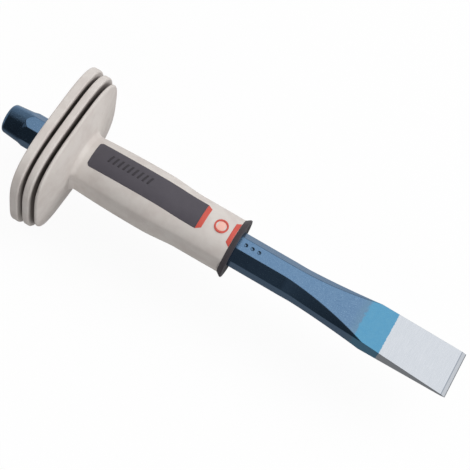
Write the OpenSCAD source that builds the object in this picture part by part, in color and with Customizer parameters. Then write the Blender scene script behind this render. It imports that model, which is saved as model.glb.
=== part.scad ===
// Cold chisel with a push-on hand guard.
// The chisel's axis is X: the struck head is at x = 0 and the cutting edge at x = overall_length.
// Z is square to the flat of the blade, and Y runs along the cutting edge.

/* [Bar] */
// Length from the struck head to the cutting edge
overall_length = 250; // [220:1:280]
// Width of the octagonal bar across its flats
bar_flats = 17; // [16:0.1:17.4]
// Length of the turned head, up to where the bar is a whole octagon
head_taper_length = 12.8; // [11.5:0.1:14]
// Where the turned head meets the middle of each flat
head_shoulder = 10.3; // [8:0.1:11]
// Radius of the turned head where it meets the rounded end
head_end_radius = 7.65; // [7:0.05:7.8]
// Radius of the rounding round the struck face
head_rounding = 1.9; // [1:0.1:3]

/* [Blade] */
// Where the broad faces start to spread over the corner faces
spread_start = 154; // [154:0.5:157]
// Where the broad faces start to slope towards the edge
taper_start = 158; // [157.5:0.5:160]
// Where the bar starts to widen into the blade
widening_start = 163.5; // [160.5:0.5:166]
// Where the blade has reached its width and its corner faces have run out
widening_end = 203.5; // [200:0.5:206]
// Width of the blade where the widening ends
blade_start_width = 22.6; // [20:0.1:24]
// Width of the cutting edge
edge_width = 25; // [24:0.1:27]
// Length of the ground bevel at the cutting edge
bevel_length = 2.3; // [1.5:0.1:4]
// Thickness of the blade where the bevel starts
bevel_thickness = 1.7; // [1.4:0.1:3]
// Thickness left at the cutting edge
edge_thickness = 0.24; // [0.1:0.02:0.5]

/* [Guard] */
// Where the back face of the guard lies along the bar
guard_back = 25.7; // [24:0.1:27]
// Width of the back plate, along the cutting edge's direction
back_width = 78.4; // [74:0.2:90]
// Width of the middle plate
middle_width = 76.8; // [72:0.2:88]
// Width of the front plate
front_width = 73.2; // [70:0.2:86]
// Height of each plate as a part of its width
guard_height_ratio = 0.87; // [0.85:0.01:1]
// Squareness of the plates: 2 is an ellipse, and more is squarer
guard_squareness = 3.3; // [2.2:0.1:5]
// Thickness of the back plate
back_plate = 4.5; // [3.5:0.1:5]
// Thickness of the middle plate
middle_plate = 3.6; // [3:0.1:4.5]
// Thickness of the front plate's rim
front_plate = 1.7; // [1.2:0.1:2.4]
// Gap between one plate and the next
plate_gap = 2; // [1.5:0.1:2.5]
// Radius of the hub that joins the plates
plate_hub_radius = 18; // [16:0.5:24]

/* [Grip] */
// Where the grip meets the front plate's sloping face
grip_start = 43.2; // [42:0.1:45]
// Length of the flare at the foot of the grip
grip_flare = 2.8; // [1.5:0.1:3]
// Where the grip ends, at the collar
grip_end = 126.7; // [126:0.1:128]
// Radius of the grip beside the guard, within its flare
grip_back_radius = 14.45; // [14:0.05:15.4]
// Radius of the grip's swell
grip_swell_radius = 15.6; // [15:0.05:16]
// Radius of the grip's waist, in front of the swell
grip_waist_radius = 14.35; // [14.2:0.05:14.8]
// Radius of the grip's front end
grip_front_radius = 14.3; // [14:0.05:14.5]
// How far out the grip's two flattened sides lie, as a part of its radius
grip_side_ratio = 0.87; // [0.85:0.01:1]

/* [Inlays] */
// Length of each dark inlay
inlay_length = 60.1; // [50:0.1:61]
// Width of each dark inlay
inlay_width = 14.2; // [12:0.1:15]
// Radius of the inlay's rounded corners
inlay_corner = 1.6; // [0.5:0.1:3]
// Where each inlay starts
inlay_start = 48.2; // [48:0.1:50]
// Length of the accent strip at the inlay's front end
strip_length = 2.6; // [1.5:0.1:4]
// Length of the accent tab beside the collar
tab_length = 2.4; // [1.5:0.1:2.8]
// How far the accents' ends are cut back at each corner
accent_bevel = 1.6; // [0.5:0.1:2.5]
// Diameter of the round badge
badge_diameter = 7.2; // [5:0.1:8]
// Centre of the badge along the bar
badge_centre = 118.8; // [117:0.1:119]

/* [Collar] */
// Length of the collar beyond the grip
collar_length = 2.8; // [2.6:0.1:5]
// Radius of the collar's rim
collar_rim_radius = 15.7; // [15:0.1:17]

/* [Fits] */
// Clearance all round the bar inside the sleeve
bar_clearance = 0.05; // [0.01:0.01:0.1]
// Outer radius of the hard inner sleeve
sleeve_radius = 11; // [10.5:0.1:11.5]
// How far the sleeve's back end lies inside the guard's back face
sleeve_recess = 0.8; // [0:0.1:2]
// Seam left round each inlay, accent and badge
seam = 0.05; // [0.02:0.01:0.1]
// How far the inlays, accents and badges stand proud of the grip
proud = 0.15; // [0:0.05:0.3]

/* [Hidden] */
$fn = 96;

past = 1;                                    // how far a cutting shape runs past what it cuts
edge_break = 0.05;                           // how far the blade's sharp corners are broken
apothem = bar_flats / 2;
corner_angle = 22.5;                         // half the angle of one of the bar's eight faces
half_face = apothem * tan(corner_angle);
bar_corner_radius = apothem / cos(corner_angle);
blade_stations = 14;                         // sections along the blade's widening
widening_power = 1.1;                        // how late the sides of the bar widen
flat_power = 1.93;                           // how late the broad faces spread to the sides
corner_ease = 0.23;                          // how much the corner faces' slope eases by their end
plate_points = 72;

middle_back = guard_back + back_plate + plate_gap;
front_back = middle_back + middle_plate + plate_gap;
front_rim = front_back + front_plate;
cone_foot_radius = front_width * guard_height_ratio / 2 - 0.6;
flare_height = 1.8;                          // how far the flare stands out where the grip starts
strip_start = inlay_start + inlay_length;
collar_front = grip_end + collar_length;
pocket_floor = sleeve_radius + 1.1;
sleeve_back = guard_back + sleeve_recess;
sleeve_front = collar_front - 1.5;
badge_floor = sleeve_radius + 0.4;
swell_x = 80;
waist_x = 104;
swell_end_x = 84;
front_waist_x = 118;

// Turns a shape that stands along Z so that it runs along X.
module along_x(x) {
    translate([x, 0, 0])
    rotate([0, 90, 0])
    children();
}

// Straight bar of eight flats, two of them square to Z.
module octagon_bar(x, length, flats) {
    along_x(x)
    rotate([0, 0, corner_angle])
    cylinder(h = length, r = flats / 2 / cos(corner_angle), $fn = 8);
}

function ramp(x, from, to) = min(1, max(0, (x - from) / (to - from)));

// Half the blade's width, with a slow start and then an even flare to the edge.
function half_width(x) =
    apothem
    + (blade_start_width / 2 - apothem) * pow(ramp(x, widening_start, widening_end), widening_power)
    + (edge_width - blade_start_width) / 2 * ramp(x, widening_end, overall_length);

// Half the blade's thickness, a straight slope to the bevel and a steeper one to the edge.
function half_thickness(x) =
    apothem
    - (apothem - bevel_thickness / 2) * ramp(x, taper_start, overall_length - bevel_length)
    - (bevel_thickness - edge_thickness) / 2 * ramp(x, overall_length - bevel_length, overall_length);

// Half the width of the broad face, which spreads until it meets the sides.
function half_flat(x) =
    let (t = ramp(x, spread_start, widening_end))
    t >= 1 ? half_width(x) : half_face + (blade_start_width / 2 - half_face) * pow(t, flat_power);

// Half the height of the side face, below a corner face that slopes at 45 degrees at first.
function half_side(x) =
    half_thickness(x)
    - (1 - corner_ease * ramp(x, widening_start, widening_end)) * (half_width(x) - half_flat(x));

// The bar's section at x: eight corners, which all but pair up where the corner faces have run out.
function section(x) =
    let (w = half_width(x), t = half_thickness(x),
         f = min(half_flat(x), w - edge_break), s = min(half_side(x), t - edge_break))
    [[x, w, -s], [x, w, s], [x, f, t], [x, -f, t], [x, -w, s], [x, -w, -s], [x, -f, -t], [x, f, -t]];

// Solid through a list of eight-cornered sections.
module loft(sections) {
    last = len(sections) - 1;
    sides = [for (i = [0:last - 1], k = [0:7])
        [i * 8 + k, (i + 1) * 8 + k, (i + 1) * 8 + (k + 1) % 8, i * 8 + (k + 1) % 8]];
    back = [for (k = [0:7]) k];
    front = [for (k = [7:-1:0]) last * 8 + k];
    polyhedron(points = [for (s = sections, p = s) p], faces = concat([back], sides, [front]));
}

function bar_x() = concat(
    [0, spread_start],
    [for (i = [0:blade_stations]) taper_start + (widening_end - taper_start) * i / blade_stations],
    [overall_length - bevel_length, overall_length]);

// Turning of the head: a rounded face, a slight taper, and a cone that cuts the flats to points and
// then clears the bar.
module head_turning() {
    slope = (bar_corner_radius - apothem) / (head_taper_length - head_shoulder);
    clear_radius = apothem + slope * (overall_length + past - head_shoulder);
    along_x(0)
    rotate_extrude()
    polygon(concat(
        [[0, 0]],
        [for (a = [0:15:90])
            [head_end_radius - head_rounding * (1 - sin(a)), head_rounding * (1 - cos(a))]],
        [[apothem, head_shoulder], [clear_radius, overall_length + past], [0, overall_length + past]]));
}

module chisel_bar() {
    color([0.36, 0.49, 0.63])
    intersection() {
        loft([for (x = bar_x()) section(x)]);
        head_turning();
    }
}

// One rounded-square plate, as wide as width and thick along X.
module plate(x, thick, width) {
    a = width / 2;
    along_x(x)
    linear_extrude(thick)
    polygon([for (i = [0:plate_points - 1])
        let (q = 360 * i / plate_points, c = abs(cos(q)), s = abs(sin(q)),
             r = a / pow(pow(s, guard_squareness) + pow(c / guard_height_ratio, guard_squareness),
                         1 / guard_squareness))
        [r * cos(q), r * sin(q)]]);
}

// Radius of the grip at x: it flares at the guard, swells and has a waist before the collar.
function grip_radius(x) =
    x <= swell_x
        ? grip_swell_radius
          - (grip_swell_radius - grip_back_radius) * pow((swell_x - x) / (swell_x - grip_start), 2)
          + flare_height * pow(1 - ramp(x, grip_start, grip_start + grip_flare), 2)
    : x <= waist_x
        ? let (t = ramp(x, swell_end_x, waist_x))
          grip_swell_radius - (grip_swell_radius - grip_waist_radius) * t * t * (3 - 2 * t)
    : grip_waist_radius - (grip_waist_radius - grip_front_radius) * ramp(x, front_waist_x, grip_end);

// Barrel of the grip, grown by extra all round and flattened on its two sides.
module grip_barrel(extra) {
    stations = concat(
        [for (i = [0:3]) grip_start + grip_flare * i / 4],
        [for (i = [0:20]) let (from = grip_start + grip_flare) from + (waist_x - from) * i / 20],
        [front_waist_x, grip_end]);
    last = len(stations) - 1;
    radii = [for (x = stations) grip_radius(x) + extra];
    intersection() {
        along_x(0)
        rotate_extrude()
        polygon(concat(
            [[0, grip_start]],
            [for (i = [0:last]) [radii[i], stations[i]]],
            [[0, grip_end]]));
        linear_extrude(2 * back_width, center = true)
        polygon(concat(
            [for (i = [0:last]) [stations[i], -grip_side_ratio * radii[i]]],
            [for (i = [last:-1:0]) [stations[i], grip_side_ratio * radii[i]]]));
    }
}

// Plan outlines, drawn in X and Y.
module inlay_plan(grow) {
    length = inlay_length + grow;
    width = inlay_width + 2 * grow;
    translate([inlay_start - grow, -width / 2])
    union() {
        translate([inlay_corner, 0])
        square([length - inlay_corner, width]);
        translate([0, inlay_corner])
        square([inlay_corner + past, width - 2 * inlay_corner]);
        for (y = [inlay_corner, width - inlay_corner])
            translate([inlay_corner, y])
            circle(inlay_corner);
    }
}

module strip_plan(grow) {
    w = inlay_width / 2 + grow;
    end = strip_start + strip_length + grow;
    polygon([[strip_start, -w], [end, accent_bevel - w], [end, w - accent_bevel], [strip_start, w]]);
}

module tab_plan(grow) {
    w = inlay_width / 2 + grow;
    start = grip_end - tab_length - grow;
    polygon([[start, accent_bevel - w], [grip_end, -w], [grip_end, w], [start, w - accent_bevel]]);
}

// Stands a plan outline up through the top half of the grip.
module stand_up() {
    linear_extrude(2 * grip_swell_radius)
    children();
}

// Accent land of the sleeve, shaped to the grip's surface.
module land() {
    intersection() {
        stand_up() children();
        grip_barrel(proud);
    }
}

module both_faces() {
    children();
    rotate([180, 0, 0])
    children();
}

module core_sleeve() {
    color([0.78, 0.34, 0.29])
    difference() {
        union() {
            along_x(sleeve_back)
            cylinder(h = sleeve_front - sleeve_back, r = sleeve_radius);
            both_faces() {
                land() strip_plan(0);
                land() tab_plan(0);
            }
        }
        octagon_bar(sleeve_back - past, sleeve_front - sleeve_back + 2 * past,
                    bar_flats + 2 * bar_clearance);
    }
}

// Everything that the windows of the grip leave free.
module windows() {
    both_faces() {
        difference() {
            stand_up() inlay_plan(seam);
            along_x(grip_start)
            cylinder(h = grip_end, r = pocket_floor);
        }
        stand_up() strip_plan(seam);
        stand_up() tab_plan(seam);
        translate([badge_centre, 0, badge_floor])
        cylinder(h = grip_swell_radius, d = badge_diameter + 2 * seam);
    }
}

module guard_grip() {
    color([0.76, 0.74, 0.72])
    difference() {
        union() {
            plate(guard_back, back_plate, back_width);
            plate(middle_back, middle_plate, middle_width);
            plate(front_back, front_plate, front_width);
            along_x(guard_back + past)
            cylinder(h = front_rim - guard_back - past, r = plate_hub_radius);
            along_x(front_rim)
            cylinder(h = grip_start - front_rim, r1 = cone_foot_radius,
                     r2 = grip_back_radius + flare_height);
            grip_barrel(0);
        }
        along_x(guard_back - past)
        cylinder(h = grip_end, r = sleeve_radius);
        windows();
    }
}

module inlay() {
    difference() {
        land() inlay_plan(0);
        along_x(grip_start)
        cylinder(h = grip_end, r = pocket_floor);
    }
}

module inlay_top() {
    color([0.33, 0.32, 0.34])
    inlay();
}

module inlay_bottom() {
    color([0.33, 0.32, 0.34])
    rotate([180, 0, 0])
    inlay();
}

// Round medallion with a shallow rim round a lower face.
module badge() {
    top = grip_waist_radius + proud;
    translate([badge_centre, 0, 0])
    difference() {
        translate([0, 0, badge_floor])
        cylinder(h = top - badge_floor, d = badge_diameter);
        translate([0, 0, top - 0.3])
        cylinder(h = past, d = badge_diameter - 1.6);
    }
}

module badge_top() {
    color([0.85, 0.5, 0.44])
    badge();
}

module badge_bottom() {
    color([0.85, 0.5, 0.44])
    rotate([180, 0, 0])
    badge();
}

module front_collar() {
    rim = 0.6;
    color([0.23, 0.23, 0.22])
    difference() {
        along_x(grip_end)
        rotate_extrude()
        polygon([[0, 0], [grip_front_radius, 0], [collar_rim_radius, collar_length - rim],
                 [collar_rim_radius, collar_length - rim / 2],
                 [collar_rim_radius - rim / 2, collar_length], [0, collar_length]]);
        along_x(grip_end - past)
        cylinder(h = sleeve_front - grip_end + past, r = sleeve_radius);
        octagon_bar(grip_end, collar_length + past, bar_flats + 6 * bar_clearance);
    }
}

chisel_bar();
core_sleeve();
guard_grip();
inlay_top();
inlay_bottom();
badge_top();
badge_bottom();
front_collar();
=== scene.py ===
"""Looks of a cold chisel with a push-on hand guard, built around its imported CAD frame.

Lengths are in metres. X runs from the struck head to the cutting edge.
Z is square to the blade, and Y runs along the cutting edge.
"""

import math

import bpy
from mathutils import Matrix, Vector


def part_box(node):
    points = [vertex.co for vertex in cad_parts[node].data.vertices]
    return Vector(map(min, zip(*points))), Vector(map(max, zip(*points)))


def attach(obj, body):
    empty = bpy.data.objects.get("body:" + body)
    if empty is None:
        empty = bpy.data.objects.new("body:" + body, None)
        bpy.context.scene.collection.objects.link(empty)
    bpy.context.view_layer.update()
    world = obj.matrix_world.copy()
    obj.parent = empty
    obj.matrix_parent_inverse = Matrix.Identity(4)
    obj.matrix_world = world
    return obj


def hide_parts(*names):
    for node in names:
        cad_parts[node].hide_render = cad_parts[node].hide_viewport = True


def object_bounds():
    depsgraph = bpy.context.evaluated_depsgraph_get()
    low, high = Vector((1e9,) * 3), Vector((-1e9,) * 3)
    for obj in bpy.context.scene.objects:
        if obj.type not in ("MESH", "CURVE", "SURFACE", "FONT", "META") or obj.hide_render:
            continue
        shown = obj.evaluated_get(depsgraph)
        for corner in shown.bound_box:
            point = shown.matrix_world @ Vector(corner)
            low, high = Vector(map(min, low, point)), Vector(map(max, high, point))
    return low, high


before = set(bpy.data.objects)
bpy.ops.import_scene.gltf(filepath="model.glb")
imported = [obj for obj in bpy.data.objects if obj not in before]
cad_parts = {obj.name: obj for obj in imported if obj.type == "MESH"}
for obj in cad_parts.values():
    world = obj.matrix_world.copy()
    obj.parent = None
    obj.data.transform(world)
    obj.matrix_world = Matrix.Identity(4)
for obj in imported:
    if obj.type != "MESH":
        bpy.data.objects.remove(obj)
cad_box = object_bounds()

MM = 0.001


# ---------------------------------------------------------------- sizes taken from the frame

bar_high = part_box("chisel_bar")[1]
grip_low, grip_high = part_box("guard_grip")
sleeve_low, sleeve_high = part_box("core_sleeve")
collar_low, collar_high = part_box("front_collar")
inlay_low, inlay_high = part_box("inlay_top")
badge_low, badge_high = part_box("badge_top")

TIP = bar_high.x
APOTHEM = bar_high.z
GUARD_BACK = grip_low.x
PLATE_HALF = grip_high.y
PLATE_RATIO = grip_high.z / grip_high.y
GRIP_END = collar_low.x
COLLAR_FRONT = collar_high.x
COLLAR_RIM = collar_high.z
INLAY_START = inlay_low.x
INLAY_END = inlay_high.x
INLAY_HALF = inlay_high.y
BADGE_X = (badge_low.x + badge_high.x) / 2
BADGE_HALF = badge_high.y
FLOOR_Z = cad_box[0][2]

# ---------------------------------------------------------------- sizes of the bar

OCTANT = math.radians(22.5)
HALF_FACE = APOTHEM * math.tan(OCTANT)
HEAD_TAPER = 12.8 * MM
HEAD_SHOULDER = 10.3 * MM
HEAD_RADIUS = 7.65 * MM
HEAD_ROUNDING = 1.9 * MM
SPREAD_START = 154 * MM
TAPER_START = 158 * MM
WIDENING_START = 163.5 * MM
WIDENING_END = 203.5 * MM
BLADE_HALF = 11.3 * MM
EDGE_HALF = 12.5 * MM
BEVEL_LENGTH = 2.3 * MM
BEVEL_HALF = 0.85 * MM
EDGE_THICK_HALF = 0.12 * MM
CORNER_EASE = 0.23
WIDENING_POWER = 1.1
FLAT_POWER = 1.93
CORNER_SOFTNESS = 0.4 * MM
CORNER_POINTS = 4
FACE_POINTS = (8, 8, 30, 8, 8, 8, 8, 8)
EDGE_BREAK = 0.05 * MM
STAMP_X = (133.0 * MM, 136.6 * MM, 140.2 * MM)
STAMP_Y = 0.4 * MM
STAMP_RADIUS = 1.15 * MM
STAMP_DEPTH = 0.4 * MM

# ---------------------------------------------------------------- sizes of the guard and grip

SQUARENESS = 3.3
PLATE_INSET = (0, 0.8 * MM, 2.6 * MM)
PLATE_THICK = (4.5 * MM, 3.6 * MM, 1.7 * MM)
PLATE_GAP = 2.0 * MM
RIM_ROUNDING = (0.9 * MM, 0.9 * MM, 0.8 * MM)
HUB_RADIUS = 18 * MM
GRIP_START = 43.2 * MM
GRIP_FLARE = 2.8 * MM
FLARE_HEIGHT = 1.8 * MM
GRIP_BACK_RADIUS = 14.45 * MM
GRIP_SWELL_RADIUS = 15.6 * MM
GRIP_WAIST_RADIUS = 14.35 * MM
GRIP_FRONT_RADIUS = 14.3 * MM
SWELL_X = 80 * MM
SWELL_END_X = 84 * MM
WAIST_X = 104 * MM
FRONT_WAIST_X = 118 * MM
SIDE_RATIO = 0.87
SIDE_SOFTNESS = 85
SIDE_HOLLOW = 0.35 * MM
SIDE_HOLLOW_ANGLE = math.radians(29)
HOLLOW_FADE_IN = 8 * MM
HOLLOW_END = (92 * MM, 108 * MM)
HUB_FILLET = 0.6 * MM
HUB_SPREAD = 4 * MM
WALL_HALF = 28 * MM
BACK_HALVES = (14 * MM, 22 * MM, 30 * MM)
DOME_STEP = 0.06
DOME_POWER = 0.8
FLARE_RING_STEP = 0.35 * MM
GRIP_RING_STEP = 1.2 * MM
SLEEVE_RADIUS = 11 * MM
BORE_CLEARANCE = 0.05 * MM
PROUD = 0.15 * MM
STRIP_LENGTH = 2.6 * MM
TAB_LENGTH = 2.4 * MM
ACCENT_BEVEL = 1.6 * MM
INLAY_CORNER = 1.6 * MM
PAD_DEPTH = 1.4 * MM
PAD_EDGE = 0.12 * MM
TAB_EDGE = 0.3 * MM
INLAY_RING_STEP = 0.9 * MM
ACCENT_RING_STEP = 0.4 * MM
PAD_CROSS = 24
RIB_COUNT = 9
RIB_START = 8 * MM
RIB_PITCH = 2.7 * MM
RIB_SLANT = 0.25
RIB_PROFILE = ((0.0, -0.1), (0.12, 0.14), (0.35, 0.22), (0.85, 0.22), (1.08, 0.14), (1.2, -0.1))
RIB_LIFTS = (
    (-1.0, 0.0), (-0.85, 0.8), (-0.6, 1.0), (1.1, 1.0), (3.0, 1.0), (3.25, 0.8), (3.4, 0.0))

# ---------------------------------------------------------------- sizes of the turned pieces

SLEEVE_WALL = SLEEVE_RADIUS - 0.05 * MM
SLEEVE_EDGE = 0.4 * MM
COLLAR_EDGE = 0.3 * MM
COLLAR_BORE = 10.4 * MM
COLLAR_FACE = 2.5 * MM
COLLAR_DISH = 0.4 * MM
BADGE_RIM_WIDTH = 1.05 * MM
BADGE_DEPTH = 1.2 * MM
BADGE_DOME = 0.28 * MM
BADGE_STEP = 0.35 * MM

# ---------------------------------------------------------------- fineness of the round pieces

GRIP_COUNT = 224
TURNED_COUNT = 128
BADGE_COUNT = 64

# ---------------------------------------------------------------- the surroundings

# The cap's middle direction is (CAP_Y, CAP_Z) in Y and Z. A row of four numbers is the low and
# high end of one coordinate of the direction looked in, then the brightness at each end.
CAP_Y = 0.42
CAP_Z = 0.905
CAP_SPREAD = (0.8, 0.94)
CAP_HEAD_END = (-0.38, -0.22, 0.13, 1.0)
CAP_BLADE_END = (0.3, 0.75, 1.0, 0.72)
BEHIND = (0.0, 0.85, 0.0, 0.65)
BEHIND_ABOVE = (-0.2, 0.35, 1.0, 0.6)
BELOW = (-0.8, -0.45, 0.22, 0.0)
LEAST_GLOW = (-0.25, 0.2, 0.035, 0.15)
BEYOND_ENDS = (0.62, 0.85, 0.0, 0.4)
LEAST_DIVISOR = 0.05
BACKDROP = 0.97
FLOOR_HALF = 3.0
FLOOR_GLOW = 0.94
FLOOR_COLOR = (0.05, 0.05, 0.05, 1)
LAMP_SIZE = 0.7


def ramp(x, start, end):
    """0 before start, 1 after end, and straight between them."""
    return min(1.0, max(0.0, (x - start) / (end - start)))


def ease(t):
    """A smooth step from 0 to 1."""
    return t * t * (3 - 2 * t)


def steps(start, end, size):
    """Values from start to end, at most size apart, with both ends."""
    n = max(1, math.ceil((end - start) / size - 1e-6))
    return [start + (end - start) * i / n for i in range(n + 1)]


def merged(*lists):
    """One rising list without near-repeats."""
    out = []
    for value in sorted(v for values in lists for v in values):
        if not out or value - out[-1] > 0.01 * MM:
            out.append(value)
    return out


# ---------------------------------------------------------------- meshes

def add_mesh(name, vertices, faces, soft_angle=None):
    """A smooth-shaded object whose large faces keep their own normals."""
    mesh = bpy.data.meshes.new(name)
    mesh.from_pydata([tuple(v) for v in vertices], [], faces)
    mesh.validate()
    mesh.update()
    mesh.shade_smooth()
    if soft_angle is not None:
        mesh.set_sharp_from_angle(angle=math.radians(soft_angle))
    piece = bpy.data.objects.new(name, mesh)
    bpy.context.scene.collection.objects.link(piece)
    normals = piece.modifiers.new("normals", "WEIGHTED_NORMAL")
    normals.keep_sharp = True
    return piece


def loft(rings, closed=False):
    """Vertices and faces of a tube through equal rings, capped unless it closes on itself."""
    n = len(rings[0])
    vertices = [p for ring in rings for p in ring]
    faces = []
    count = len(rings) if closed else len(rings) - 1
    for i in range(count):
        a, b = i * n, ((i + 1) % len(rings)) * n
        faces += [(a + k, a + (k + 1) % n, b + (k + 1) % n, b + k) for k in range(n)]
    if not closed:
        faces.append(tuple(range(n - 1, -1, -1)))
        faces.append(tuple(range(len(vertices) - n, len(vertices))))
    return vertices, faces


def place(piece, body, node, material):
    """Everything that a finished piece needs to say about itself."""
    piece.data.materials.clear()
    piece.data.materials.append(material)
    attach(piece, body)
    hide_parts(node)
    return piece


def mirrored(vertices, faces):
    """The same shape turned half round the bar's axis."""
    return [(x, -y, -z) for x, y, z in vertices], faces


# ---------------------------------------------------------------- the bar

def half_width(x):
    """Half the bar's width along Y."""
    widening = (BLADE_HALF - APOTHEM) * ramp(x, WIDENING_START, WIDENING_END) ** WIDENING_POWER
    return APOTHEM + widening + (EDGE_HALF - BLADE_HALF) * ramp(x, WIDENING_END, TIP)


def half_thickness(x):
    """Half the bar's thickness along Z."""
    bevel_x = TIP - BEVEL_LENGTH
    slope = (APOTHEM - BEVEL_HALF) * ramp(x, TAPER_START, bevel_x)
    return APOTHEM - slope - (BEVEL_HALF - EDGE_THICK_HALF) * ramp(x, bevel_x, TIP)


def half_flat(x):
    """Half the width of the broad face."""
    t = ramp(x, SPREAD_START, WIDENING_END)
    return half_width(x) if t >= 1 else HALF_FACE + (BLADE_HALF - HALF_FACE) * t ** FLAT_POWER


def half_side(x):
    """Half the height of the side face."""
    slope = 1 - CORNER_EASE * ramp(x, WIDENING_START, WIDENING_END)
    return half_thickness(x) - slope * (half_width(x) - half_flat(x))


def turned_radius(x):
    """Radius left by the turning of the head: a rounding, a slight taper and a cone off the bar."""
    if x < HEAD_ROUNDING:
        rise = HEAD_ROUNDING - math.sqrt(HEAD_ROUNDING ** 2 - (HEAD_ROUNDING - x) ** 2)
        return HEAD_RADIUS - rise
    if x < HEAD_SHOULDER:
        return HEAD_RADIUS + (APOTHEM - HEAD_RADIUS) * ramp(x, HEAD_ROUNDING, HEAD_SHOULDER)
    slope = (APOTHEM / math.cos(OCTANT) - APOTHEM) / (HEAD_TAPER - HEAD_SHOULDER)
    return APOTHEM + slope * (x - HEAD_SHOULDER)


def softened_polygon(corners, softness, arc, fill):
    """A polygon's outline with soft corners of arc points, and fill[k] points along side k."""
    out = []
    n = len(corners)
    for k in range(n):
        before, corner, after = corners[k - 1], corners[k], corners[(k + 1) % n]
        to_before, to_after = before - corner, after - corner
        start = corner + to_before.normalized() * min(softness, 0.42 * to_before.length)
        end = corner + to_after.normalized() * min(softness, 0.42 * to_after.length)
        for i in range(arc):
            t = i / (arc - 1)
            out.append((1 - t) ** 2 * start + 2 * t * (1 - t) * corner + t * t * end)
        next_start = after - to_after.normalized() * min(softness, 0.42 * to_after.length)
        out += [end.lerp(next_start, i / (fill[k] + 1)) for i in range(1, fill[k] + 1)]
    return out


def stamp_dip(x, y, z):
    """How far a point of the broad face is pressed in by the row of punch marks."""
    if z < APOTHEM * 0.9:
        return 0.0
    dip = 0.0
    for stamp_x in STAMP_X:
        away = math.hypot(x - stamp_x, y - STAMP_Y) / STAMP_RADIUS
        if away < 1:
            dip = max(dip, STAMP_DEPTH * (1 - ease(ramp(away, 0.25, 1))))
    return dip


def bar_ring(x):
    """The bar's section at x."""
    w, t = half_width(x), half_thickness(x)
    f = min(half_flat(x), w - EDGE_BREAK)
    s = min(half_side(x), t - EDGE_BREAK)
    near_side = ((w, -s), (w, s), (f, t), (-f, t))
    far_side = ((-w, s), (-w, -s), (-f, -t), (f, -t))
    corners = [Vector(c) for c in near_side + far_side]
    outline = softened_polygon(corners, CORNER_SOFTNESS, CORNER_POINTS, FACE_POINTS)
    limit = turned_radius(x)
    ring = []
    for y, z in outline:
        shrink = min(1.0, limit / math.hypot(y, z))
        y, z = y * shrink, z * shrink
        ring.append((x, y, z - stamp_dip(x, y, z)))
    return ring


def bar_stations():
    """Where the bar's sections lie: close together where its shape changes fast."""
    rounding = [HEAD_ROUNDING * (1 - math.cos(math.radians(a))) for a in range(0, 91, 10)]
    bevel_x = TIP - BEVEL_LENGTH
    return merged(
        rounding,
        steps(HEAD_ROUNDING, HEAD_SHOULDER - 0.6 * MM, 1.2 * MM),
        steps(HEAD_SHOULDER - 0.6 * MM, HEAD_TAPER + 0.4 * MM, 0.2 * MM),
        steps(HEAD_TAPER + 0.4 * MM, STAMP_X[0] - 2 * MM, 6 * MM),
        steps(STAMP_X[0] - 2 * MM, STAMP_X[-1] + 2 * MM, 0.28 * MM),
        steps(STAMP_X[-1] + 2 * MM, SPREAD_START, 2 * MM),
        steps(SPREAD_START, TAPER_START, 1 * MM),
        steps(TAPER_START, WIDENING_END, 1 * MM),
        steps(WIDENING_END, bevel_x - 0.3 * MM, 3 * MM),
        [bevel_x - 0.1 * MM, bevel_x, bevel_x + 0.1 * MM, bevel_x + 0.3 * MM],
        steps(bevel_x + 0.3 * MM, TIP, 0.5 * MM))


def make_bar(material):
    rings = [bar_ring(x) for x in bar_stations()]
    vertices, faces = loft(rings)
    piece = add_mesh("bar_forging", vertices, faces)
    return place(piece, "bar", "chisel_bar", material)


# ---------------------------------------------------------------- the guard and grip

def grip_radius(x):
    """Radius of the grip at x."""
    if x <= SWELL_X:
        flare = FLARE_HEIGHT * (1 - ramp(x, GRIP_START, GRIP_START + GRIP_FLARE)) ** 2
        return flare + GRIP_SWELL_RADIUS - (GRIP_SWELL_RADIUS - GRIP_BACK_RADIUS) * (
            (SWELL_X - x) / (SWELL_X - GRIP_START)) ** 2
    if x <= WAIST_X:
        return GRIP_SWELL_RADIUS - (GRIP_SWELL_RADIUS - GRIP_WAIST_RADIUS) * ease(
            ramp(x, SWELL_END_X, WAIST_X))
    narrowing = ramp(x, FRONT_WAIST_X, GRIP_END)
    return GRIP_WAIST_RADIUS - (GRIP_WAIST_RADIUS - GRIP_FRONT_RADIUS) * narrowing


def side_flattening(angle):
    """The radius at an angle from Z, as a part of the full one: the grip's sides are flattened."""
    across = abs(math.sin(angle))
    return (1 + (across / SIDE_RATIO) ** SIDE_SOFTNESS) ** (-1 / SIDE_SOFTNESS)


def side_hollow(angle, strength):
    """Depth of the shallow hollow in each flattened side."""
    off = abs(math.remainder(abs(angle) - math.pi / 2, math.pi)) / SIDE_HOLLOW_ANGLE
    return strength * SIDE_HOLLOW * (1 - ease(min(1.0, off)))


def squircle(angle, half, power, ratio):
    """Radius at an angle from Z of a rounded square, half wide along Y and half * ratio high."""
    across, up = abs(math.sin(angle)), abs(math.cos(angle)) / ratio
    return half / (across ** power + up ** power) ** (1 / power)


def ring_of(x, radius_at, count):
    """A ring at x whose radius is a function of the angle from Z."""
    angles = [2 * math.pi * k / count for k in range(count)]
    return [(x, radius_at(a) * math.sin(a), radius_at(a) * math.cos(a)) for a in angles]


def plate_profile(back, front, half, rounding):
    """(x, half) pairs round a plate's rim, from its back face to its front face."""
    arc = [math.radians(a) for a in (0, 22, 45, 68, 90)]
    inner = half - rounding
    start = [(back + rounding * (1 - math.sin(a)), inner + rounding * math.cos(a)) for a in arc]
    end = [(front - rounding * (1 - math.sin(a)), inner + rounding * math.cos(a)) for a in arc]
    return start[::-1] + end


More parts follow.
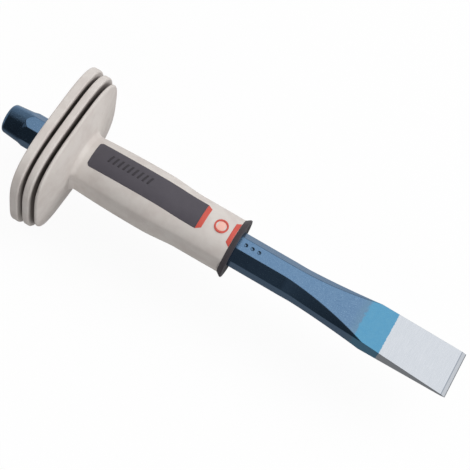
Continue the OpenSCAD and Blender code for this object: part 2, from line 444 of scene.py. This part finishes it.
def guard_rings(count):
    """Rings from the back face's bore, over the three plates, to the foot of the grip."""
    rings = []

    def add(x, half, blend):
        power = 2 + (SQUARENESS - 2) * blend
        ratio = 1 + (PLATE_RATIO - 1) * blend
        rings.append(ring_of(x, lambda a: squircle(a, half, power, ratio), count))

    back = GUARD_BACK
    add(back, SLEEVE_RADIUS, 0)
    for half in BACK_HALVES:
        add(back, half, ramp(half, SLEEVE_RADIUS, BACK_HALVES[-1]))
    for i, thick in enumerate(PLATE_THICK):
        half = PLATE_HALF - PLATE_INSET[i]
        if i:
            add(back, HUB_RADIUS + HUB_FILLET, 0.0)
            add(back, HUB_RADIUS + HUB_SPREAD, 0.3)
            add(back, WALL_HALF, 0.9)
        for x, out in plate_profile(back, back + thick, half, RIM_ROUNDING[i]):
            add(x, out, 1)
        front = back + thick
        if i < 2:
            add(front, WALL_HALF, 0.9)
            add(front, HUB_RADIUS + HUB_SPREAD, 0.3)
            add(front, HUB_RADIUS + HUB_FILLET, 0.0)
            add(front + HUB_FILLET, HUB_RADIUS, 0.0)
            add(front + PLATE_GAP - HUB_FILLET, HUB_RADIUS, 0.0)
        back = front + PLATE_GAP
    rim = back - PLATE_GAP
    inner = PLATE_HALF - PLATE_INSET[2] - RIM_ROUNDING[2]
    for t in steps(DOME_STEP, 0.96, DOME_STEP):
        half = inner + (grip_radius(GRIP_START) - inner) * t
        add(rim + (GRIP_START - rim) * t, half, (1 - t) ** DOME_POWER)
    return rings


def grip_rings(count):
    """Rings along the grip, from its foot to its front end, and back through the bore."""
    rings = []
    flare_end = GRIP_START + GRIP_FLARE
    stations = merged(
        steps(GRIP_START, flare_end, FLARE_RING_STEP),
        steps(flare_end, GRIP_END - 0.4 * MM, GRIP_RING_STEP),
        [GRIP_END])
    for x in stations:
        hollow = ramp(x, GRIP_START, GRIP_START + HOLLOW_FADE_IN) * (1 - ramp(x, *HOLLOW_END))
        radius = grip_radius(x)
        rings.append(ring_of(
            x, lambda a: radius * side_flattening(a) - side_hollow(a, hollow), count))
    rings.append(ring_of(GRIP_END, lambda a: SLEEVE_RADIUS, count))
    return rings


def make_grip(material):
    vertices, faces = loft(guard_rings(GRIP_COUNT) + grip_rings(GRIP_COUNT), closed=True)
    piece = add_mesh("guard_and_grip", vertices, faces, soft_angle=50)
    return place(piece, "guard", "guard_grip", material)


# ---------------------------------------------------------------- pads let into the grip

def barrel_height(x, y):
    """Height of the grip's round top surface."""
    return math.sqrt(max(0.0, grip_radius(x) ** 2 - y * y))


def make_pad_shape(start, end, half_at, step, edge):
    """A closed pad that follows the grip, with half width half_at(x) and a rounded edge."""
    arc = [edge * (1 - math.cos(math.radians(a))) for a in (0, 20, 40, 60, 90)]
    stations = merged(
        [start + a for a in arc],
        steps(start + edge, end - edge, step),
        [end - a for a in arc])
    rings = []
    for x in stations:
        half = half_at(x)
        inner = half - edge
        ys = [-half + a for a in arc]
        ys += [-inner + 2 * inner * k / PAD_CROSS for k in range(1, PAD_CROSS)]
        ys += [half - a for a in reversed(arc)]
        ring = [(x, -half, barrel_height(x, half) - PAD_DEPTH)]
        for y in ys:
            inside = min(x - start, end - x, half - abs(y))
            sink = edge - math.sqrt(max(0.0, edge ** 2 - max(0.0, edge - inside) ** 2))
            ring.append((x, y, barrel_height(x, y) + PROUD - sink))
        ring.append((x, half, barrel_height(x, half) - PAD_DEPTH))
        ring.append((x, 0, barrel_height(x, half) - PAD_DEPTH))
        rings.append(ring[::-1])
    return loft(rings)


def inlay_half(x):
    """Half the inlay's width: rounded corners at the guard end."""
    into = x - INLAY_START
    if into >= INLAY_CORNER:
        return INLAY_HALF
    return INLAY_HALF - INLAY_CORNER + math.sqrt(INLAY_CORNER ** 2 - (INLAY_CORNER - into) ** 2)


def strip_half(x):
    """Half the accent strip's width: it narrows away from the inlay."""
    return INLAY_HALF - ACCENT_BEVEL * ramp(x, INLAY_END, INLAY_END + STRIP_LENGTH)


def tab_half(x):
    """Half the accent tab's width: it widens to the collar."""
    return INLAY_HALF - ACCENT_BEVEL * (1 - ramp(x, GRIP_END - TAB_LENGTH, GRIP_END))


def rib_shapes():
    """A plain row of small slanted ribs on the inlay."""
    vertices = []
    faces = []
    for i in range(RIB_COUNT):
        x0 = INLAY_START + RIB_START + i * RIB_PITCH
        rings = []
        for y, lift in RIB_LIFTS:
            ring = []
            for along, up in RIB_PROFILE:
                x = x0 + (along + RIB_SLANT * y) * MM
                height = up * lift * MM if up > 0 else up * MM
                ring.append((x, y * MM, barrel_height(x, y * MM) + PROUD + height))
            rings.append(ring)
        more_vertices, more_faces = loft(rings)
        base = len(vertices)
        vertices += more_vertices
        faces += [tuple(base + k for k in face) for face in more_faces]
    return vertices, faces


def make_pads(dark, rib, red):
    """The dark inlays with their ribs, and the red accents, on both faces of the grip."""
    inlay = make_pad_shape(INLAY_START, INLAY_END, inlay_half, INLAY_RING_STEP, PAD_EDGE)
    strip = make_pad_shape(
        INLAY_END + 0.02 * MM, INLAY_END + STRIP_LENGTH, strip_half, ACCENT_RING_STEP, PAD_EDGE)
    tab = make_pad_shape(GRIP_END - TAB_LENGTH, GRIP_END, tab_half, ACCENT_RING_STEP, TAB_EDGE)
    shapes = (("inlay", inlay, dark), ("inlay_ribs", rib_shapes(), rib),
              ("accent_strip", strip, red), ("accent_tab", tab, red))
    for name, shape, material in shapes:
        for side, (vertices, faces) in (("top", shape), ("bottom", mirrored(*shape))):
            piece = add_mesh(f"{name}_{side}", vertices, faces)
            if name.startswith("inlay"):
                place(piece, "guard", f"inlay_{side}", material)
            else:
                place(piece, "guard", "core_sleeve", material)


# ---------------------------------------------------------------- turned pieces

def turned(profile, bore):
    """A closed turned shape about X from (x, radius) pairs, with an octagonal bore."""
    def octagon(angle):
        return bore / math.cos(math.remainder(angle, 2 * OCTANT))

    rings = [ring_of(x, lambda a: r, TURNED_COUNT) for x, r in profile]
    rings += [ring_of(x, octagon, TURNED_COUNT) for x in (profile[-1][0], profile[0][0])]
    return loft(rings, closed=True)


def make_sleeve(material):
    """The hard sleeve's body, which shows as a ring round the bar behind the guard."""
    low, high = sleeve_low.x, sleeve_high.x
    profile = [
        (low, SLEEVE_WALL - SLEEVE_EDGE),
        (low + 0.12 * MM, SLEEVE_WALL - 0.12 * MM),
        (low + SLEEVE_EDGE, SLEEVE_WALL),
        (high - SLEEVE_EDGE, SLEEVE_WALL),
        (high, SLEEVE_WALL - SLEEVE_EDGE)]
    vertices, faces = turned(profile, APOTHEM + BORE_CLEARANCE)
    piece = add_mesh("sleeve_body", vertices, faces, soft_angle=40)
    place(piece, "guard", "core_sleeve", material)


def make_collar(material):
    """The dark flared ring at the blade end of the grip, with a slightly dished front."""
    dish = COLLAR_FRONT - COLLAR_DISH
    profile = [
        (GRIP_END, GRIP_FRONT_RADIUS),
        (GRIP_END + 0.3 * MM, GRIP_FRONT_RADIUS + 0.16 * MM),
        (COLLAR_FRONT - 0.9 * MM, COLLAR_RIM - 0.1 * MM),
        (COLLAR_FRONT - 0.55 * MM, COLLAR_RIM),
        (COLLAR_FRONT - COLLAR_EDGE, COLLAR_RIM),
        (COLLAR_FRONT - 0.09 * MM, COLLAR_RIM - 0.09 * MM),
        (COLLAR_FRONT, COLLAR_RIM - COLLAR_EDGE),
        (COLLAR_FRONT, COLLAR_RIM - COLLAR_FACE),
        (dish, COLLAR_RIM - COLLAR_FACE - 0.5 * MM),
        (dish, COLLAR_BORE)]
    vertices, faces = turned(profile, APOTHEM + 3 * BORE_CLEARANCE)
    piece = add_mesh("collar_ring", vertices, faces, soft_angle=40)
    place(piece, "guard", "front_collar", material)


def make_badges(rim_material, face_material):
    """A plain round medallion: a rim and a pale domed face."""
    top = GRIP_WAIST_RADIUS + PROUD
    inner = BADGE_HALF - BADGE_RIM_WIDTH
    rim = [
        (top - BADGE_DEPTH, BADGE_HALF),
        (top - 0.25 * MM, BADGE_HALF),
        (top - 0.07 * MM, BADGE_HALF - 0.07 * MM),
        (top, BADGE_HALF - 0.25 * MM),
        (top, BADGE_HALF - 0.75 * MM),
        (top - 0.1 * MM, BADGE_HALF - 0.95 * MM),
        (top - BADGE_STEP, inner),
        (top - BADGE_DEPTH, inner)]
    face = [(top - 0.9 * MM, inner)]
    for a in (math.radians(degrees) for degrees in range(0, 86, 12)):
        face.append((top - BADGE_STEP + BADGE_DOME * math.sin(a), inner * math.cos(a)))
    pieces = (("badge_rim", rim, True, rim_material), ("badge_face", face, False, face_material))
    angles = [2 * math.pi * k / BADGE_COUNT for k in range(BADGE_COUNT)]
    for side, turn in (("top", 1), ("bottom", -1)):
        for name, profile, closed, material in pieces:
            rings = [[(BADGE_X + r * math.cos(a), turn * r * math.sin(a), turn * z) for a in angles]
                     for z, r in profile]
            vertices, faces = loft(rings, closed=closed)
            piece = add_mesh(f"{name}_{side}", vertices, faces, soft_angle=60)
            place(piece, "guard", f"badge_{side}", material)


# ---------------------------------------------------------------- materials

def srgb(r, g, b):
    """A colour given as 0 to 255 display values, in linear light."""
    def channel(v):
        v /= 255
        return v / 12.92 if v <= 0.04045 else ((v + 0.055) / 1.055) ** 2.4
    return channel(r), channel(g), channel(b), 1.0


class Shader:
    """A material under construction."""

    def __init__(self, name, **sockets):
        self.material = bpy.data.materials.new(name)
        self.material.use_nodes = True
        self.nodes = self.material.node_tree.nodes
        self.links = self.material.node_tree.links
        self.surface = self.nodes["Principled BSDF"]
        for socket, value in sockets.items():
            self.surface.inputs[socket.replace("_", " ")].default_value = value
        self.place = self.add("ShaderNodeTexCoord").outputs["Object"]

    def add(self, kind, **settings):
        node = self.nodes.new(kind)
        for key, value in settings.items():
            setattr(node, key, value)
        return node

    def feed(self, socket, value):
        if isinstance(value, (int, float, tuple)):
            socket.default_value = value
        else:
            self.links.new(value, socket)

    def noise(self, size, detail=3.0, roughness=0.55, stretch=(1, 1, 1)):
        """Noise with features about size metres across."""
        place_node = self.add("ShaderNodeMapping")
        self.links.new(self.place, place_node.inputs["Vector"])
        place_node.inputs["Scale"].default_value = stretch
        node = self.add("ShaderNodeTexNoise")
        self.links.new(place_node.outputs[0], node.inputs["Vector"])
        node.inputs["Scale"].default_value = 1 / size
        node.inputs["Detail"].default_value = detail
        node.inputs["Roughness"].default_value = roughness
        return node.outputs["Fac"]

    def math(self, operation, a, b=0.0, c=0.0):
        node = self.add("ShaderNodeMath", operation=operation)
        for socket, value in zip(node.inputs, (a, b, c)):
            self.feed(socket, value)
        return node.outputs[0]

    def levels(self, value, low, high, to_low=0.0, to_high=1.0):
        """Maps low..high smoothly to to_low..to_high and holds it there outside."""
        node = self.add("ShaderNodeMapRange", interpolation_type="SMOOTHSTEP")
        self.feed(node.inputs["Value"], value)
        node.inputs["From Min"].default_value = low
        node.inputs["From Max"].default_value = high
        node.inputs["To Min"].default_value = to_low
        node.inputs["To Max"].default_value = to_high
        return node.outputs[0]

    def mix(self, factor, a, b):
        node = self.add("ShaderNodeMix", data_type="RGBA")
        self.feed(node.inputs[0], factor)
        self.feed(node.inputs[6], a)
        self.feed(node.inputs[7], b)
        return node.outputs[2]

    def coordinate(self, axis):
        node = self.add("ShaderNodeSeparateXYZ")
        self.links.new(self.place, node.inputs[0])
        return node.outputs["XYZ".index(axis)]

    def bump(self, height, depth, strength=1.0):
        """Bump from a 0 to 1 height, depth metres deep."""
        node = self.add("ShaderNodeBump")
        node.inputs["Strength"].default_value = strength
        node.inputs["Distance"].default_value = depth
        self.links.new(height, node.inputs["Height"])
        self.links.new(node.outputs[0], self.surface.inputs["Normal"])


def steel_material():
    """Blue lacquer over forged steel, a brighter band, and the bare ground tip."""
    s = Shader("lacquered_steel", Metallic=1.0, Roughness=0.24)
    x = s.coordinate("X")
    grain = s.noise(0.5 * MM, detail=4)
    mottle = s.noise(2.2 * MM, detail=3)
    ragged = s.math("MULTIPLY_ADD", s.noise(0.9 * MM, detail=2), 0.9 * MM, x)
    band_edge = s.math("MULTIPLY_ADD", s.noise(1.6 * MM, detail=3), 3 * MM, x)
    lacquer = s.mix(mottle, srgb(100, 134, 170), srgb(118, 150, 182))
    lacquer = s.mix(s.levels(grain, 0.5, 0.75), lacquer, srgb(136, 168, 200))
    lacquer = s.mix(s.levels(grain, 0.28, 0.45, 0.6, 0.0), lacquer, srgb(86, 118, 154))
    band = s.mix(mottle, srgb(92, 158, 198), srgb(108, 168, 200))
    fading = s.mix(s.levels(band_edge, 195 * MM, 199 * MM, 0.0, 0.5), lacquer, srgb(118, 152, 176))
    painted = s.mix(s.levels(band_edge, 199.2 * MM, 200.8 * MM), fading, band)
    scratches = s.noise(0.35 * MM, detail=3, stretch=(1, 0.06, 1))
    bare = s.mix(scratches, srgb(206, 212, 220), srgb(226, 230, 236))
    from_bevel = s.math("ABSOLUTE", s.math("SUBTRACT", x, TIP - BEVEL_LENGTH))
    bare = s.mix(s.levels(from_bevel, 0.12 * MM, 0.34 * MM, 0.75, 0.0), bare, srgb(140, 150, 164))
    is_bare = s.levels(ragged, 213.2 * MM, 213.5 * MM)
    color = s.mix(is_bare, painted, bare)
    s.links.new(color, s.surface.inputs["Base Color"])
    rough = s.levels(grain, 0.2, 0.8, 0.2, 0.28)
    s.links.new(rough, s.surface.inputs["Roughness"])
    s.bump(grain, 0.03 * MM, 0.35)
    return s.material


def painted_gap_shade(s):
    """1 deep in the two gaps between the guard's plates, where shade is painted into the rubber's
    colour, and 0 elsewhere.
    """
    x = s.coordinate("X")
    half = PLATE_HALF - PLATE_INSET[1]
    across = s.math("ABSOLUTE", s.math("DIVIDE", s.coordinate("Y"), half))
    across = s.math("POWER", across, SQUARENESS)
    up = s.math("ABSOLUTE", s.math("DIVIDE", s.coordinate("Z"), half * PLATE_RATIO))
    up = s.math("POWER", up, SQUARENESS)
    deep = s.levels(s.math("ADD", across, up), 0.74, 0.92, 1.0, 0.0)
    first = GUARD_BACK + PLATE_THICK[0]
    second = first + PLATE_GAP + PLATE_THICK[1]
    total = 0.0
    for start in (first, second):
        after = s.math("GREATER_THAN", x, start - 0.04 * MM)
        before = s.math("LESS_THAN", x, start + PLATE_GAP + 0.04 * MM)
        total = s.math("MAXIMUM", total, s.math("MULTIPLY", after, before))
    return s.math("MULTIPLY", total, deep)


def elastomer_material():
    """Fine matt light grey rubber with a moulded grain."""
    s = Shader("grey_elastomer", Roughness=0.62, Specular_IOR_Level=0.3)
    cloud = s.noise(9 * MM, detail=4, roughness=0.6)
    grain = s.noise(0.28 * MM, detail=2)
    color = s.mix(s.levels(cloud, 0.35, 0.7), srgb(212, 206, 201), srgb(203, 195, 190))
    # Painted shade: the grey rubber is darkened towards dark brown deep in the gaps between the
    # plates.
    color = s.mix(s.math("MULTIPLY", painted_gap_shade(s), 0.8), color, srgb(96, 86, 82))
    s.links.new(color, s.surface.inputs["Base Color"])
    s.links.new(s.levels(grain, 0.2, 0.8, 0.55, 0.7), s.surface.inputs["Roughness"])
    s.bump(grain, 0.05 * MM, 0.3)
    return s.material


def soft_plastic(name, color_a, color_b, roughness):
    """A moulded plastic or rubber in one colour with slight variation and grain."""
    s = Shader(name, Roughness=roughness, Specular_IOR_Level=0.4)
    cloud = s.noise(3.5 * MM, detail=3)
    grain = s.noise(0.25 * MM, detail=2)
    s.links.new(s.mix(cloud, srgb(*color_a), srgb(*color_b)), s.surface.inputs["Base Color"])
    rough = s.levels(grain, 0.2, 0.8, roughness - 0.06, roughness + 0.06)
    s.links.new(rough, s.surface.inputs["Roughness"])
    s.bump(grain, 0.04 * MM, 0.25)
    return s.material


# ---------------------------------------------------------------- stage

def make_floor():
    """A plain pale floor under the object."""
    mesh = bpy.data.meshes.new("floor")
    signs = ((-1, -1), (1, -1), (1, 1), (-1, 1))
    corners = [(x * FLOOR_HALF, y * FLOOR_HALF, FLOOR_Z) for x, y in signs]
    mesh.from_pydata(corners, [], [(0, 1, 2, 3)])
    floor = bpy.data.objects.new("floor", mesh)
    bpy.context.scene.collection.objects.link(floor)
    s = Shader("pale_floor", Roughness=0.9, Specular_IOR_Level=0.0, Base_Color=FLOOR_COLOR)
    s.surface.inputs["Emission Color"].default_value = (1, 1, 1, 1)
    s.surface.inputs["Emission Strength"].default_value = FLOOR_GLOW
    mesh.materials.append(s.material)
    floor.visible_glossy = False
    floor.visible_diffuse = False
    floor.visible_shadow = False


class WorldNodes:
    """The surroundings' node tree under construction."""

    def __init__(self):
        world = bpy.data.worlds.new("surroundings")
        bpy.context.scene.world = world
        world.use_nodes = True
        self.nodes = world.node_tree.nodes
        self.links = world.node_tree.links
        self.background = self.nodes["Background"]

    def toward(self):
        """The X, Y and Z of the direction looked in."""
        place_node = self.nodes.new("ShaderNodeTexCoord")
        split = self.nodes.new("ShaderNodeSeparateXYZ")
        self.links.new(place_node.outputs["Generated"], split.inputs[0])
        return split.outputs

    def join(self, operation, *values):
        node = self.nodes.new("ShaderNodeMath")
        node.operation = operation
        for socket, value in zip(node.inputs, values):
            if isinstance(value, float):
                socket.default_value = value
            else:
                self.links.new(value, socket)
        return node.outputs[0]

    def levels(self, value, low, high, to_low, to_high):
        """Maps low..high smoothly to to_low..to_high and holds it there outside."""
        node = self.nodes.new("ShaderNodeMapRange")
        node.interpolation_type = "SMOOTHSTEP"
        self.links.new(value, node.inputs["Value"])
        node.inputs["From Min"].default_value = low
        node.inputs["From Max"].default_value = high
        node.inputs["To Min"].default_value = to_low
        node.inputs["To Max"].default_value = to_high
        return node.outputs[0]


def overhead_cap(w, toward_x, toward_y, toward_z):
    """A bright cap overhead, as wide along X as the object and narrow across it."""
    along = w.join("ADD", w.join("MULTIPLY", toward_y, CAP_Y), w.join("MULTIPLY", toward_z, CAP_Z))
    squares = w.join(
        "ADD", w.join("MULTIPLY", toward_y, toward_y), w.join("MULTIPLY", toward_z, toward_z))
    across = w.join("MAXIMUM", w.join("SQRT", squares), LEAST_DIVISOR)
    nearness = w.join("DIVIDE", along, across)
    ends = w.join(
        "MULTIPLY", w.levels(toward_x, *CAP_HEAD_END), w.levels(toward_x, *CAP_BLADE_END))
    return w.join("MULTIPLY", w.levels(nearness, *CAP_SPREAD, 0.0, 1.0), ends)


def make_world():
    """Soft surroundings: a bright cap overhead, a dimmer band behind, and dim elsewhere."""
    w = WorldNodes()
    toward_x, toward_y, toward_z = w.toward()
    cap = overhead_cap(w, toward_x, toward_y, toward_z)
    behind = w.join(
        "MULTIPLY", w.levels(toward_y, *BEHIND), w.levels(toward_z, *BEHIND_ABOVE))
    below = w.levels(toward_z, *BELOW)
    least = w.levels(toward_x, *LEAST_GLOW)
    beyond_ends = w.levels(w.join("ABSOLUTE", toward_x), *BEYOND_ENDS)
    dim = w.join("MAXIMUM", w.join("MAXIMUM", below, least), beyond_ends)
    total = w.join("MAXIMUM", w.join("MAXIMUM", cap, behind), dim)
    seen = w.nodes.new("ShaderNodeLightPath").outputs["Is Camera Ray"]
    backdrop = w.join("MULTIPLY", seen, BACKDROP)
    around = w.join("MULTIPLY", total, w.join("SUBTRACT", 1.0, seen))
    w.links.new(w.join("ADD", backdrop, around), w.background.inputs["Strength"])
    w.background.inputs["Color"].default_value = (1, 1, 1, 1)


def add_light(name, where, target, power):
    """A square soft light that faces target and leaves no reflection of its own."""
    data = bpy.data.lights.new(name, "AREA")
    data.shape = "SQUARE"
    data.size = LAMP_SIZE
    data.energy = power
    lamp = bpy.data.objects.new(name, data)
    lamp.location = where
    lamp.rotation_euler = (Vector(where) - Vector(target)).to_track_quat("Z", "Y").to_euler()
    bpy.context.scene.collection.objects.link(lamp)
    lamp.visible_camera = False
    lamp.visible_glossy = False


def make_lights():
    """A key light from the far side, a fill from the near side, and a weak one behind the head."""
    middle = (TIP / 2, 0, 0)
    add_light("key", (0.7, 0.55, 0.8), middle, 7.6)
    add_light("fill", (0.42, -0.9, 0.34), middle, 5)
    add_light("back_fill", (-0.7, 0.1, 0.45), middle, 3)


def make_camera():
    """Looks down at the object from above its blade side, tilted so that the bar runs downhill."""
    azimuth, elevation, roll = math.radians(-78.88), math.radians(64.88), math.radians(19.95)
    distance = 0.6382
    aim = Vector((0.1252, 0.0061, 0))
    back = Vector((math.cos(elevation) * math.cos(azimuth),
                   math.cos(elevation) * math.sin(azimuth), math.sin(elevation)))
    level = Vector((0, 0, 1)).cross(back).normalized()
    upright = back.cross(level)
    right = level * math.cos(roll) + upright * math.sin(roll)
    up = upright * math.cos(roll) - level * math.sin(roll)
    data = bpy.data.cameras.new("camera")
    data.lens = 100.85
    data.sensor_width = 36
    camera = bpy.data.objects.new("camera", data)
    turn = Matrix((right, up, back)).transposed().to_4x4()
    camera.matrix_world = Matrix.Translation(aim + back * distance) @ turn
    bpy.context.scene.collection.objects.link(camera)
    bpy.context.scene.camera = camera


make_camera()
bpy.context.scene.view_settings.view_transform = "Standard"
make_world()
make_lights()
make_floor()

red = soft_plastic("red_core", (206, 92, 80), (198, 84, 74), 0.42)
dark = soft_plastic("dark_inlay", (84, 80, 87), (76, 73, 80), 0.55)
make_bar(steel_material())
make_grip(elastomer_material())
make_pads(dark, soft_plastic("dark_ribs", (60, 57, 62), (54, 51, 56), 0.55), red)
make_sleeve(red)
make_collar(soft_plastic("dark_collar", (71, 67, 71), (64, 60, 64), 0.5))
make_badges(red, soft_plastic("badge_face", (240, 190, 176), (232, 180, 166), 0.25))
